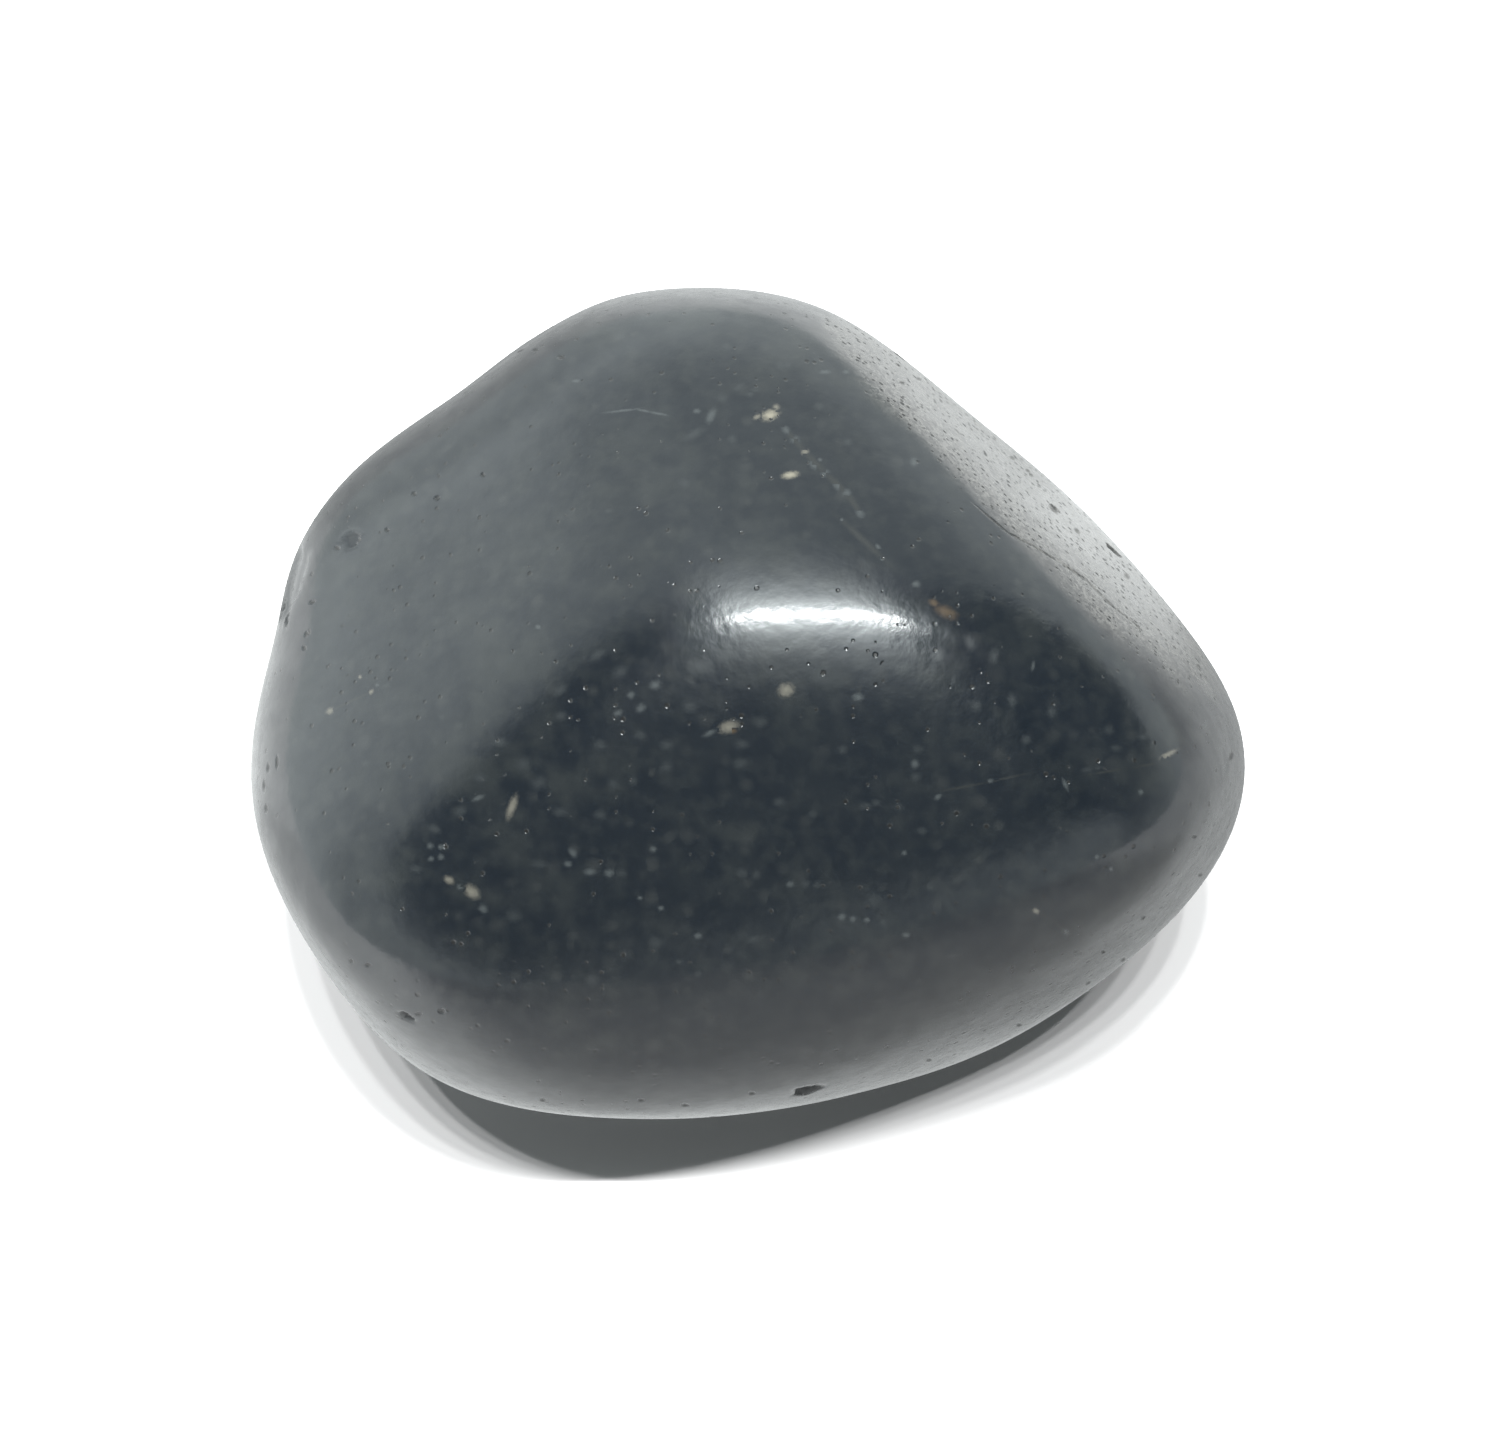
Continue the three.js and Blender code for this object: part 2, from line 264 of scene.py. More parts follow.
# The marks that face the lens. Each kind: colour, cover, depth in mm, and its marks, by the pixel
# at the middle across and down, length and width in pixels, and turn in degrees.
MARKS = {
    "cream": ((0.21, 0.20, 0.155), 0.95, 0.0, (
        (770, 415, 19, 12, 15), (790, 475, 18, 8, 10),
    )),
    "buff": ((0.105, 0.102, 0.084), 0.95, 0.0, (
        (757, 417, 9, 6, 30), (776, 407, 8, 7, 0), (786, 690, 17, 15, 20), (729, 727, 22, 13, 15),
        (512, 807, 27, 9, 70), (472, 892, 18, 13, -40), (449, 880, 12, 8, -30),
        (1169, 754, 22, 6, 25), (805, 452, 9, 8, 0), (1036, 911, 9, 6, -30), (371, 692, 8, 5, 40),
        (330, 711, 10, 7, 20), (307, 693, 6, 5, 60), (335, 662, 4, 4, 0), (360, 677, 4, 5, 0),
    )),
    "white": ((0.037, 0.044, 0.046), 0.9, 0.0, (
        (710, 733, 16, 6, 25), (842, 917, 9, 8, 0), (1066, 932, 10, 7, -25),
        (711, 416, 19, 9, 65), (697, 411, 8, 6, 0), (846, 372, 8, 5, 0), (825, 372, 13, 5, 5),
        (576, 381, 9, 4, 0), (914, 462, 9, 11, 0), (538, 627, 6, 5, 0), (483, 909, 11, 9, -40),
        (460, 887, 7, 6, 0), (430, 846, 8, 7, 0), (441, 847, 7, 6, 0), (441, 857, 7, 7, 0),
        (431, 859, 7, 6, 0), (573, 853, 12, 8, -50), (568, 864, 9, 7, 0), (590, 872, 13, 8, 0),
        (609, 873, 11, 9, 0), (653, 849, 8, 7, 0), (478, 798, 14, 6, 25), (655, 685, 12, 10, 30),
        (641, 708, 12, 9, 40), (631, 695, 9, 8, 0), (618, 713, 11, 7, 20), (858, 697, 12, 9, 0),
        (915, 764, 9, 10, 0), (853, 919, 7, 7, 0), (867, 920, 7, 6, 0), (990, 781, 9, 5, 15),
        (938, 797, 9, 6, 40), (790, 884, 8, 7, 0), (1065, 784, 14, 5, -65), (1206, 724, 9, 4, 80),
        (1220, 749, 8, 5, 0), (1227, 768, 16, 7, 60), (904, 853, 6, 6, 0), (916, 584, 9, 7, 0),
        (1033, 666, 11, 4, 80), (1141, 792, 6, 6, 0), (1097, 857, 5, 5, 0), (1111, 869, 5, 5, 0),
        (786, 430, 12, 8, -40), (795, 440, 11, 9, 0), (814, 465, 13, 9, -50), (820, 460, 5, 5, 0),
        (825, 473, 10, 9, 0), (838, 486, 13, 9, -45), (847, 493, 10, 9, 0), (860, 513, 12, 9, -60),
        (842, 520, 5, 5, 0), (851, 528, 6, 5, 0), (860, 535, 6, 5, 0), (878, 547, 8, 5, -50),
        (883, 559, 6, 5, 0), (906, 935, 9, 6, 0), (640, 898, 6, 5, 0), (661, 908, 7, 6, 0),
        (698, 936, 9, 7, 0), (377, 685, 5, 4, 0),
    )),
    "faint": ((0.0140, 0.0178, 0.0200), 0.9, 0.0, (
        (694, 434, 28, 10, 30), (722, 398, 15, 10, 0), (739, 387, 15, 6, 40), (755, 390, 12, 6, 0),
        (750, 394, 10, 8, 0), (780, 365, 11, 8, 0), (788, 365, 9, 8, 0), (727, 346, 11, 8, 0),
        (732, 439, 12, 9, 0), (848, 442, 11, 9, 0), (685, 483, 12, 10, 0), (819, 406, 11, 9, 0),
        (620, 337, 11, 8, 0), (461, 811, 15, 11, 40), (435, 829, 14, 9, -30), (416, 869, 15, 10, 0),
        (514, 916, 18, 14, 0), (621, 873, 11, 10, 0), (539, 864, 18, 10, 0), (656, 942, 18, 14, 0),
        (592, 980, 15, 11, 0), (679, 962, 8, 6, 0), (698, 974, 8, 8, 0), (561, 716, 15, 11, 0),
        (667, 745, 15, 12, 0), (666, 767, 16, 12, 20), (613, 784, 12, 12, 0), (633, 781, 11, 11, 0),
        (539, 783, 18, 14, 30), (523, 764, 18, 15, 0), (742, 744, 16, 11, 0), (741, 763, 16, 12, 0),
        (970, 642, 12, 18, 20), (994, 656, 11, 19, -15), (918, 749, 12, 10, 0), (916, 777, 11, 11, 0),
        (866, 806, 15, 9, 0), (876, 803, 11, 9, 0), (899, 807, 11, 9, 0), (813, 814, 11, 9, 0),
        (779, 802, 14, 10, 0), (922, 831, 11, 9, 0), (805, 884, 12, 9, 0), (817, 885, 10, 9, 0),
        (883, 923, 10, 9, 0), (742, 873, 14, 11, 0), (756, 875, 11, 10, 0), (874, 900, 20, 16, 0),
        (930, 887, 11, 9, 0), (754, 939, 15, 8, 15), (953, 956, 15, 6, 10), (1079, 954, 11, 6, 0),
        (1087, 770, 15, 6, 10), (1099, 768, 11, 6, 0), (1116, 748, 14, 8, 0), (1143, 737, 12, 8, 0),
        (1109, 730, 11, 11, 0), (1164, 716, 6, 6, 0), (1052, 712, 11, 14, 0), (307, 693, 10, 6, 30),
        (315, 706, 8, 5, 0), (386, 686, 11, 5, 25), (365, 763, 9, 6, 0), (511, 659, 10, 8, 0),
        (442, 717, 6, 6, 0), (460, 726, 6, 6, 0), (552, 554, 6, 5, 0), (562, 518, 6, 5, 0),
        (478, 516, 8, 6, 0), (609, 511, 8, 6, 0), (335, 662, 6, 6, 0), (598, 655, 20, 11, 35),
        (620, 672, 22, 15, 30), (560, 690, 18, 11, 40), (700, 668, 32, 20, 10), (728, 655, 30, 15, 0),
        (690, 706, 18, 14, 0), (760, 722, 15, 11, 0), (820, 676, 20, 14, 0), (862, 664, 28, 15, 0),
        (904, 668, 22, 14, 20), (938, 655, 18, 15, 0), (600, 745, 16, 12, 0), (640, 735, 14, 10, 0),
        (500, 742, 15, 11, 0), (480, 778, 16, 11, 0), (560, 812, 18, 11, 0), (600, 815, 15, 11, 0),
        (1012, 700, 11, 16, 10), (1026, 740, 11, 10, 0), (976, 706, 14, 12, 0), (843, 750, 12, 11, 0),
    )),
    "hairline": ((0.013, 0.015, 0.015), 0.9, 0.0, ()),
    "golden": ((0.052, 0.036, 0.019), 0.8, 0.0, (
        (946, 612, 26, 13, -25), (934, 603, 12, 8, -30), (733, 731, 10, 6, 0),
    )),
    "pore": ((0.004, 0.004, 0.004), 1.0, 0.045, (
        (1053, 510, 12, 4, -45), (1077, 531, 8, 5, -45), (1028, 471, 7, 4, -20), (1127, 576, 8, 6, -50),
        (898, 365, 7, 3, -30), (902, 383, 6, 4, 0), (919, 379, 6, 4, 0), (1012, 458, 7, 4, -30),
        (1031, 475, 6, 4, -30), (351, 961, 6, 4, -35), (368, 965, 7, 5, 0), (419, 1014, 8, 5, 0),
        (442, 1011, 8, 6, 0), (543, 1100, 7, 4, 0), (641, 1100, 7, 4, 0), (685, 1105, 8, 4, 0),
        (713, 1117, 8, 4, 0), (752, 1093, 7, 4, 0), (1143, 918, 6, 4, 30), (1123, 960, 6, 5, 0),
        (1103, 952, 5, 4, 0), (1088, 983, 6, 4, 20), (1231, 757, 10, 6, 60), (929, 1060, 6, 4, 0),
        (1019, 1025, 6, 4, 0), (1198, 666, 5, 4, 0), (1194, 837, 6, 4, 0), (1200, 875, 6, 4, 0),
        (437, 498, 7, 5, 30), (414, 494, 6, 5, 0), (483, 475, 5, 5, 0), (387, 530, 5, 5, 0),
        (520, 351, 9, 4, 10), (535, 350, 7, 4, 0), (561, 357, 8, 5, 0), (312, 602, 8, 4, 20),
        (306, 634, 7, 4, 60), (277, 762, 4, 14, 0), (268, 768, 4, 10, 0), (264, 786, 4, 12, 0),
        (266, 809, 4, 9, 0), (337, 548, 7, 5, 0), (304, 648, 5, 5, 0),
    )),
}

# The veins and the crack: for each kind its lines, each a width and the pixels that it runs
# through.
VEINS = {
    "hairline": (
        (8, (786, 430), (805, 452), (825, 473), (847, 493), (860, 513)),
        (8, (842, 520), (883, 559)),
        (3, (330, 711), (371, 692)),
        (3, (941, 791), (985, 783), (1025, 774)), (3, (1036, 911), (1052, 920), (1066, 932)),
        (4, (853, 378), (872, 385)), (3, (1085, 775), (1130, 768), (1165, 762)),
    ),
    "white": ((3, (610, 412), (637, 409), (650, 412), (666, 415)),),
    "pore": (
        (2.5, (981, 510), (1008, 533), (1029, 544), (1061, 563)), (3.5, (1061, 563), (1084, 579)),
        (3.5, (1088, 582), (1104, 598), (1113, 607)), (2.5, (1113, 607), (1134, 623), (1141, 630)),
    ),
}

# The marks strewn on the sides that lean away from the lens by more than this: how many of each
# kind, out of how many tries for each, and their sizes and shapes.
STREWN = {"buff": 14, "white": 60, "faint": 90, "pore": 110}
STREWN_LEAN = -0.15
STREWN_TRIES = 6
STREWN_SIZES_MM = (0.08, 0.24)
STREWN_SHARES = (0.6, 1.0)
STREWN_SEED = 21

# How many times as long as the step between two points of a vein its dash there is.
DASH_OVERLAP = 1.45

# The walk that finds a mark's seat: where it starts before the aim, its steps, and the share of
# the way to the surface that each step takes.
WALK_START = 24 * MM
WALK_STEPS = 90
WALK_STRIDE = 0.6


def seats_at(pixels):
    """Points of the smooth surface seen at the pixels, found by walking along the lens's rays."""
    pixels = np.asarray(pixels, float)
    right = (pixels[:, 0] - IMAGE_WIDTH / 2) / PIXELS_PER_METRE
    down = (pixels[:, 1] - IMAGE_HEIGHT / 2) / PIXELS_PER_METRE
    ways = aim + right[:, None] * view_right - down[:, None] * view_up - camera_place
    ways = ways / np.linalg.norm(ways, axis=1, keepdims=True)
    places = camera_place + ways * (CAMERA_DISTANCE - WALK_START)
    for _ in range(WALK_STEPS):
        offsets = places - middle
        far = np.linalg.norm(offsets, axis=1)
        short = far - lump_reach(offsets / far[:, None])
        places = places + ways * (WALK_STRIDE * short)[:, None]
    return places


marks = []
for kind, (_, _, _, placed) in MARKS.items():
    marks += [(kind, *mark) for mark in placed]
for kind, lines in VEINS.items():
    for width, *points in lines:
        for (x, y), (next_x, next_y) in zip(points, points[1:]):
            length = math.hypot(next_x - x, next_y - y) * DASH_OVERLAP
            slant = math.degrees(math.atan2(y - next_y, next_x - x))
            marks.append((kind, (x + next_x) / 2, (y + next_y) / 2, length, width, slant))
kinds = [mark[0] for mark in marks]
seats = seats_at([mark[1:3] for mark in marks])
halves = np.array([mark[3:5] for mark in marks]) / (2 * PIXELS_PER_METRE)
slants = np.radians([mark[5] for mark in marks])[:, None]
lengthways = np.cos(slants) * view_right + np.sin(slants) * view_up
crossways = np.cos(slants) * view_up - np.sin(slants) * view_right

dice = np.random.default_rng(STREWN_SEED)
for kind, count in STREWN.items():
    ways = dice.normal(size=(STREWN_TRIES * count, 3))
    ways = ways / np.linalg.norm(ways, axis=1, keepdims=True)
    ways = ways[ways @ view_back < STREWN_LEAN][:count]
    level = np.cross([0, 0, 1.0], ways)
    level = level / np.linalg.norm(level, axis=1, keepdims=True)
    rise = np.cross(ways, level)
    turns = dice.uniform(0, math.pi, (len(ways), 1))
    sizes = dice.uniform(*STREWN_SIZES_MM, (len(ways), 1))
    sizes = sizes * dice.uniform(*STREWN_SHARES, (len(ways), 2)) * MM
    kinds += [kind] * len(ways)
    seats = np.vstack([seats, middle + ways * lump_reach(ways)[:, None]])
    halves = np.vstack([halves, sizes])
    lengthways = np.vstack([lengthways, level * np.cos(turns) + rise * np.sin(turns)])
    crossways = np.vstack([crossways, rise * np.cos(turns) - level * np.sin(turns)])
outward = (seats - middle) / np.linalg.norm(seats - middle, axis=1, keepdims=True)
into_marks = np.stack([lengthways / halves[:, :1], crossways / halves[:, 1:], outward / MM], 1)

# Each face belongs to its nearest mark. Its corners' places within that mark are measured in half
# lengths and half widths of the mark, and in mm outwards.
FARTHEST_PLACE = 50
corners = surface[quads]
centres = corners.mean(1)
nearest = np.zeros(len(quads), int)
least = np.full(len(quads), np.inf)
for mark, (seat, into) in enumerate(zip(seats, into_marks)):
    away = (((centres - seat) @ into.T) ** 2).sum(1)
    nearest = np.where(away < least, mark, nearest)
    least = np.minimum(away, least)
mark_places = np.einsum("fij,fcj->fci", into_marks[nearest], corners - seats[nearest][:, None])
mark_places = np.clip(mark_places, -FARTHEST_PLACE, FARTHEST_PLACE)
mark_colours = np.array([(*MARKS[kind][0], MARKS[kind][1]) for kind in kinds])[nearest]
mark_depths = np.array([MARKS[kind][2] * MM for kind in kinds])[nearest]

stone_mesh = bpy.data.meshes.new("stone_surface")
stone_mesh.from_pydata(surface.tolist(), [], quads.tolist())
stone_mesh.update()
stone_mesh.polygons.foreach_set("use_smooth", np.ones(len(quads), bool))
place_values = stone_mesh.attributes.new("mark_place", "FLOAT_VECTOR", "CORNER")
place_values.data.foreach_set("vector", mark_places.reshape(-1))
colour_values = stone_mesh.attributes.new("mark_colour", "FLOAT_COLOR", "FACE")
colour_values.data.foreach_set("color", mark_colours.reshape(-1))
depth_values = stone_mesh.attributes.new("mark_depth", "FLOAT", "FACE")
depth_values.data.foreach_set("value", mark_depths)
pit_values = stone_mesh.attributes.new("pit_shade", "FLOAT", "POINT")
pit_values.data.foreach_set("value", pit_shade)
stone = bpy.data.objects.new("polished_stone", stone_mesh)
bpy.context.scene.collection.objects.link(stone)

polish = bpy.data.materials.new("polished_shungite")
polish.use_nodes = True
nodes, links = polish.node_tree.nodes, polish.node_tree.links
own_place = nodes.new("ShaderNodeTexCoord").outputs["Object"]


def fill(sockets, values):
    """Give a node's sockets their values: an output is linked, and anything else is set."""
    for socket, value in zip(sockets, values):
        if isinstance(value, bpy.types.NodeSocket):
            links.new(value, socket)
        else:
            socket.default_value = value


def number(operation, *values):
    """Output of one math node in the node tree in hand."""
    node = nodes.new("ShaderNodeMath")
    node.operation = operation
    fill(node.inputs, values)
    return node.outputs["Value"]


def vector_node(operation, *values):
    """One vector math node in the node tree in hand."""
    node = nodes.new("ShaderNodeVectorMath")
    node.operation = operation
    fill(node.inputs, values)
    return node


def ramp(value, start, end, low=0.0, high=1.0):
    """A smooth step from low to high as the value goes from start to end."""
    node = nodes.new("ShaderNodeMapRange")
    node.interpolation_type = "SMOOTHSTEP"
    fill(node.inputs, (value, start, end, low, high))
    return node.outputs["Result"]


def blend(amount, first, second):
    """A colour between two colours."""
    node = nodes.new("ShaderNodeMix")
    node.data_type = "RGBA"
    fill((node.inputs[0], node.inputs[6], node.inputs[7]), (amount, first, second))
    return node.outputs[2]


def noise(size, detail=2.0):
    """Noise node on the stone's own coordinates, with blotches about this size in metres."""
    node = nodes.new("ShaderNodeTexNoise")
    links.new(own_place, node.inputs["Vector"])
    node.inputs["Scale"].default_value = 1 / size
    node.inputs["Detail"].default_value = detail
    return node


def cells(size):
    """Cells on the stone's own coordinates, about this far apart in metres: the distance from
    the middle of one, as a share of the size, and two random values of its own."""
    node = nodes.new("ShaderNodeTexVoronoi")
    links.new(own_place, node.inputs["Vector"])
    node.inputs["Scale"].default_value = 1 / size
    parts = nodes.new("ShaderNodeSeparateColor")
    links.new(node.outputs["Color"], parts.inputs["Color"])
    return node.outputs["Distance"], parts.outputs["Red"], parts.outputs["Green"]


def kept_value(name):
    """Node that reads one of the values kept in the stone's mesh."""
    node = nodes.new("ShaderNodeAttribute")
    node.attribute_name = name
    return node


# How far inside its mark a point is. The mark's edge is ragged by this share of its half size.
RAGGED_SIZE, RAGGED_DETAIL, RAGGED_SHARE = 0.11 * MM, 3.0, 0.35
MARK_FADE = (0.0, 1.3)
ragged = vector_node(
    "MULTIPLY_ADD", noise(RAGGED_SIZE, RAGGED_DETAIL).outputs["Color"],
    (2 * RAGGED_SHARE, 2 * RAGGED_SHARE, 0), (-RAGGED_SHARE, -RAGGED_SHARE, 0))
moved = vector_node("ADD", ragged.outputs["Vector"], kept_value("mark_place").outputs["Vector"])
mark_away = vector_node("LENGTH", moved.outputs["Vector"]).outputs["Value"]
inside = ramp(mark_away, *MARK_FADE, 1, 0)
mark_look = kept_value("mark_colour")
mark_cover = number("MULTIPLY", inside, mark_look.outputs["Alpha"])
mark_drop = number("MULTIPLY", inside, kept_value("mark_depth").outputs["Fac"])

# The carbon: blue black, clouded in banks with greenish grey and with finer wisps of it.
CARBON_BLACK, CARBON_CLOUD = (0.0020, 0.0045, 0.0080, 1), (0.0105, 0.0135, 0.0150, 1)
CLOUD_SIZE, CLOUD_DETAIL, CLOUD_STEP, CLOUD_SHARE = 1.6 * MM, 4.0, (0.4, 0.68), 0.8
BANK_SIZE, BANK_STEP, BANK_SHARE = 5.0 * MM, (0.42, 0.62), 0.7
WISP_SIZE, WISP_DETAIL, WISP_STEP, WISP_SHARE = 0.6 * MM, 4.0, (0.42, 0.7), 0.5
clouds = ramp(noise(CLOUD_SIZE, CLOUD_DETAIL).outputs["Fac"], *CLOUD_STEP)
banks = ramp(noise(BANK_SIZE).outputs["Fac"], *BANK_STEP)
banks = number("MULTIPLY_ADD", banks, BANK_SHARE, 1 - BANK_SHARE)
cloudy = number("MULTIPLY", clouds, banks)
wisps = ramp(noise(WISP_SIZE, WISP_DETAIL).outputs["Fac"], *WISP_STEP)
cloudy = number("MULTIPLY_ADD", wisps, WISP_SHARE, number("MULTIPLY", cloudy, CLOUD_SHARE))
carbon = blend(cloudy, CARBON_BLACK, CARBON_CLOUD)

# Small pale motes in the carbon, a few of them paler than the rest. Their sizes, and how ragged
# they are, are shares of the spacing.
MOTE_COLOUR = (0.0140, 0.0168, 0.0182, 1)
MOTE_SPACING, MOTE_SIZE, MOTE_SPREAD, MOTE_FADE = 0.65 * MM, 0.25, 0.3, (0.0, 1.3)
MOTE_RAGGED_SIZE, MOTE_RAGGED = 0.2 * MM, 0.24
mote_away, mote_pale, mote_wide = cells(MOTE_SPACING)
mote_away = number("SUBTRACT", mote_away, MOTE_RAGGED / 2)
mote_ragged = noise(MOTE_RAGGED_SIZE).outputs["Fac"]
mote_away = number("MULTIPLY_ADD", mote_ragged, MOTE_RAGGED, mote_away)
mote_size = number("MULTIPLY_ADD", mote_wide, MOTE_SPREAD, MOTE_SIZE)
mote = ramp(number("DIVIDE", mote_away, mote_size), *MOTE_FADE, 1, 0)
mote = number("MULTIPLY", mote, number("MULTIPLY", mote_pale, mote_pale))
carbon = blend(mote, carbon, MOTE_COLOUR)
colour = blend(mark_cover, carbon, mark_look.outputs["Color"])

# The right slope is less polished and gritty, from where the surface reaches this far out along
# the way that it faces. Its grit has its own dark colour seen face on, and a painted sheen that
# makes it pale aslant.
SLOPE_STEP = (19.37 * MM, 19.92 * MM)
SLOPE_RAGGED_SIZE, SLOPE_RAGGED_DETAIL, SLOPE_RAGGED = 2.2 * MM, 5.0, 0.9 * MM
GRIT_SPACING, GRIT_COVER = 0.12 * MM, 0.85
GRIT_BLACK = (0.003, 0.003, 0.003, 1)
GRIT_FACE_ON = (0.028, 0.028, 0.026, 1)
GRIT_SHEEN_ASLANT = (0.155, 0.155, 0.145, 1)
ASLANT_STEP = (0.3, 0.72)
slope_way = flat_normals[[flat[0] for flat in FLATS].index("right slope")]
slope = vector_node("DOT_PRODUCT", own_place, slope_way).outputs["Value"]
slope_ragged = noise(SLOPE_RAGGED_SIZE, SLOPE_RAGGED_DETAIL).outputs["Fac"]
broken = ramp(number("MULTIPLY_ADD", slope_ragged, SLOPE_RAGGED, slope), *SLOPE_STEP)
grit_away, grit, grit_deep = cells(GRIT_SPACING)
grazing = nodes.new("ShaderNodeLayerWeight")
grazing.inputs["Blend"].default_value = 0.5
# The grit's pale colour aslant is a painted sheen, blended in by how aslant the surface is seen.
sheen_aslant = ramp(grazing.outputs["Facing"], *ASLANT_STEP)
worn_and_sheen = blend(grit, GRIT_BLACK, blend(sheen_aslant, GRIT_FACE_ON, GRIT_SHEEN_ASLANT))
colour = blend(number("MULTIPLY", broken, GRIT_COVER), colour, worn_and_sheen)

# Fine pores: sparse in the polish, more of them in patches, and many in the slope. Their sizes,
# and how ragged they are, are shares of the spacing.
PORE_BLACK = (0.004, 0.004, 0.004, 1)
PORE_SPACING, PORE_SIZE, PORE_SPREAD, PORE_FADE = 0.25 * MM, 0.18, 0.26, (0.5, 1.1)
PORE_RAGGED_SIZE, PORE_RAGGED = 0.08 * MM, 0.16
PORE_PATCH_SIZE, PORE_PATCH_STEP = 2.5 * MM, (0.45, 0.7)
PORE_SHARE, PORE_SHARE_PATCH, PORE_SHARE_SLOPE = 0.05, 0.14, 0.4
pore_away, pore_pick, pore_wide = cells(PORE_SPACING)
patchy = ramp(noise(PORE_PATCH_SIZE).outputs["Fac"], *PORE_PATCH_STEP)
share = number("MULTIPLY_ADD", patchy, PORE_SHARE_PATCH, PORE_SHARE)
share = number("MULTIPLY_ADD", broken, PORE_SHARE_SLOPE, share)
pore_ragged = noise(PORE_RAGGED_SIZE).outputs["Fac"]
pore_ragged = number("MULTIPLY_ADD", pore_ragged, PORE_RAGGED, -PORE_RAGGED / 2)
pore_size = number("MULTIPLY_ADD", pore_wide, PORE_SPREAD, PORE_SIZE)
pore = number("DIVIDE", number("ADD", pore_away, pore_ragged), pore_size)
pore = number("MULTIPLY", ramp(pore, *PORE_FADE, 1, 0), number("LESS_THAN", pore_pick, share))
colour = blend(pore, colour, PORE_BLACK)
shader = nodes["Principled BSDF"]
links.new(colour, shader.inputs["Base Color"])

# The gloss: a mirror polish with a fine grain and a mottle, under a thin haze. Marks, pores and
# pits are duller, and so is everything seen aslant. The gloss is the roughness of the clean polish,
# and each dull value is what that thing adds to it.
GLOSS, MOTTLE_DULL, GRAIN_DULL, ASLANT_DULL, MARK_DULL = 0.095, 0.06, 0.03, 0.14, 0.12
PORE_DULL, PORE_DULL_SLOPE, PIT_DULL, DEPTH_DULL = 0.1, 0.3, 0.5, 6 / MM
GRAIN_SIZE, MOTTLE_SIZE, MOTTLE_DETAIL = 0.07 * MM, 0.5 * MM, 3.0
ASLANT_DULL_STEP, ASLANT_DULL_LEAST = (0.35, 0.85), 0.6
STONE_IOR, HAZE_IOR, HAZE_ROUGHNESS = 2.2, 1.5, 0.3
HAZE_SIZE, HAZE_DETAIL, HAZE_STEP, HAZE_WEIGHTS = 0.9 * MM, 3.0, (0.35, 0.65), (0.06, 0.3)
grain = noise(GRAIN_SIZE).outputs["Fac"]
mottle = noise(MOTTLE_SIZE, MOTTLE_DETAIL).outputs["Fac"]
aslant_dull = ramp(grazing.outputs["Facing"], *ASLANT_DULL_STEP)
aslant_dull = number("MULTIPLY", aslant_dull, ramp(grit, 0, 1, ASLANT_DULL_LEAST, 1))
pore_dull = number("MULTIPLY_ADD", broken, PORE_DULL_SLOPE, PORE_DULL)
rough = number("MULTIPLY_ADD", mottle, MOTTLE_DULL, GLOSS)
rough = number("MULTIPLY_ADD", grain, GRAIN_DULL, rough)
rough = number("MULTIPLY_ADD", aslant_dull, ASLANT_DULL, rough)
rough = number("MULTIPLY_ADD", mark_cover, MARK_DULL, rough)
rough = number("MULTIPLY_ADD", mark_drop, DEPTH_DULL, rough)
rough = number("MULTIPLY_ADD", pore, pore_dull, rough)
rough = number("MULTIPLY_ADD", kept_value("pit_shade").outputs["Fac"], PIT_DULL, rough)
links.new(rough, shader.inputs["Roughness"])
shader.inputs["IOR"].default_value = STONE_IOR
shader.inputs["Coat IOR"].default_value = HAZE_IOR
shader.inputs["Coat Roughness"].default_value = HAZE_ROUGHNESS
haze = ramp(noise(HAZE_SIZE, HAZE_DETAIL).outputs["Fac"], *HAZE_STEP, *HAZE_WEIGHTS)
links.new(haze, shader.inputs["Coat Weight"])

# The fine relief, in metres: marks and pores drop, the grit is dimpled, and the polish is very
# slightly mottled. The grain and the pores are deeper in the slope.
PORE_DROP, PORE_DROP_SLOPE = 0.013 * MM, 0.017 * MM
DIMPLE_DROP, DIMPLE_FADE = 0.005 * MM, (0.0, 0.5)
GRAIN_HEIGHT, GRAIN_HEIGHT_SLOPE, MOTTLE_HEIGHT = 0.0003 * MM, 0.0014 * MM, 0.010 * MM
pore_drop = number("MULTIPLY_ADD", broken, -PORE_DROP_SLOPE, -PORE_DROP)
dimple = ramp(grit_away, *DIMPLE_FADE, 1, 0)
dimple = number("MULTIPLY", dimple, number("MULTIPLY", grit_deep, grit_deep))
dimple = number("MULTIPLY", dimple, broken)
grain_height = number("MULTIPLY_ADD", broken, GRAIN_HEIGHT_SLOPE, GRAIN_HEIGHT)
height = number("MULTIPLY", mark_drop, -1)
height = number("MULTIPLY_ADD", pore, pore_drop, height)
height = number("MULTIPLY_ADD", dimple, -DIMPLE_DROP, height)
height = number("MULTIPLY_ADD", grain, grain_height, height)
height = number("MULTIPLY_ADD", mottle, MOTTLE_HEIGHT, height)
relief = nodes.new("ShaderNodeBump")
relief.inputs["Distance"].default_value = 1.0
links.new(height, relief.inputs["Height"])
links.new(relief.outputs["Normal"], shader.inputs["Normal"])
stone_mesh.materials.append(polish)

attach(stone, "root")
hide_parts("stone")
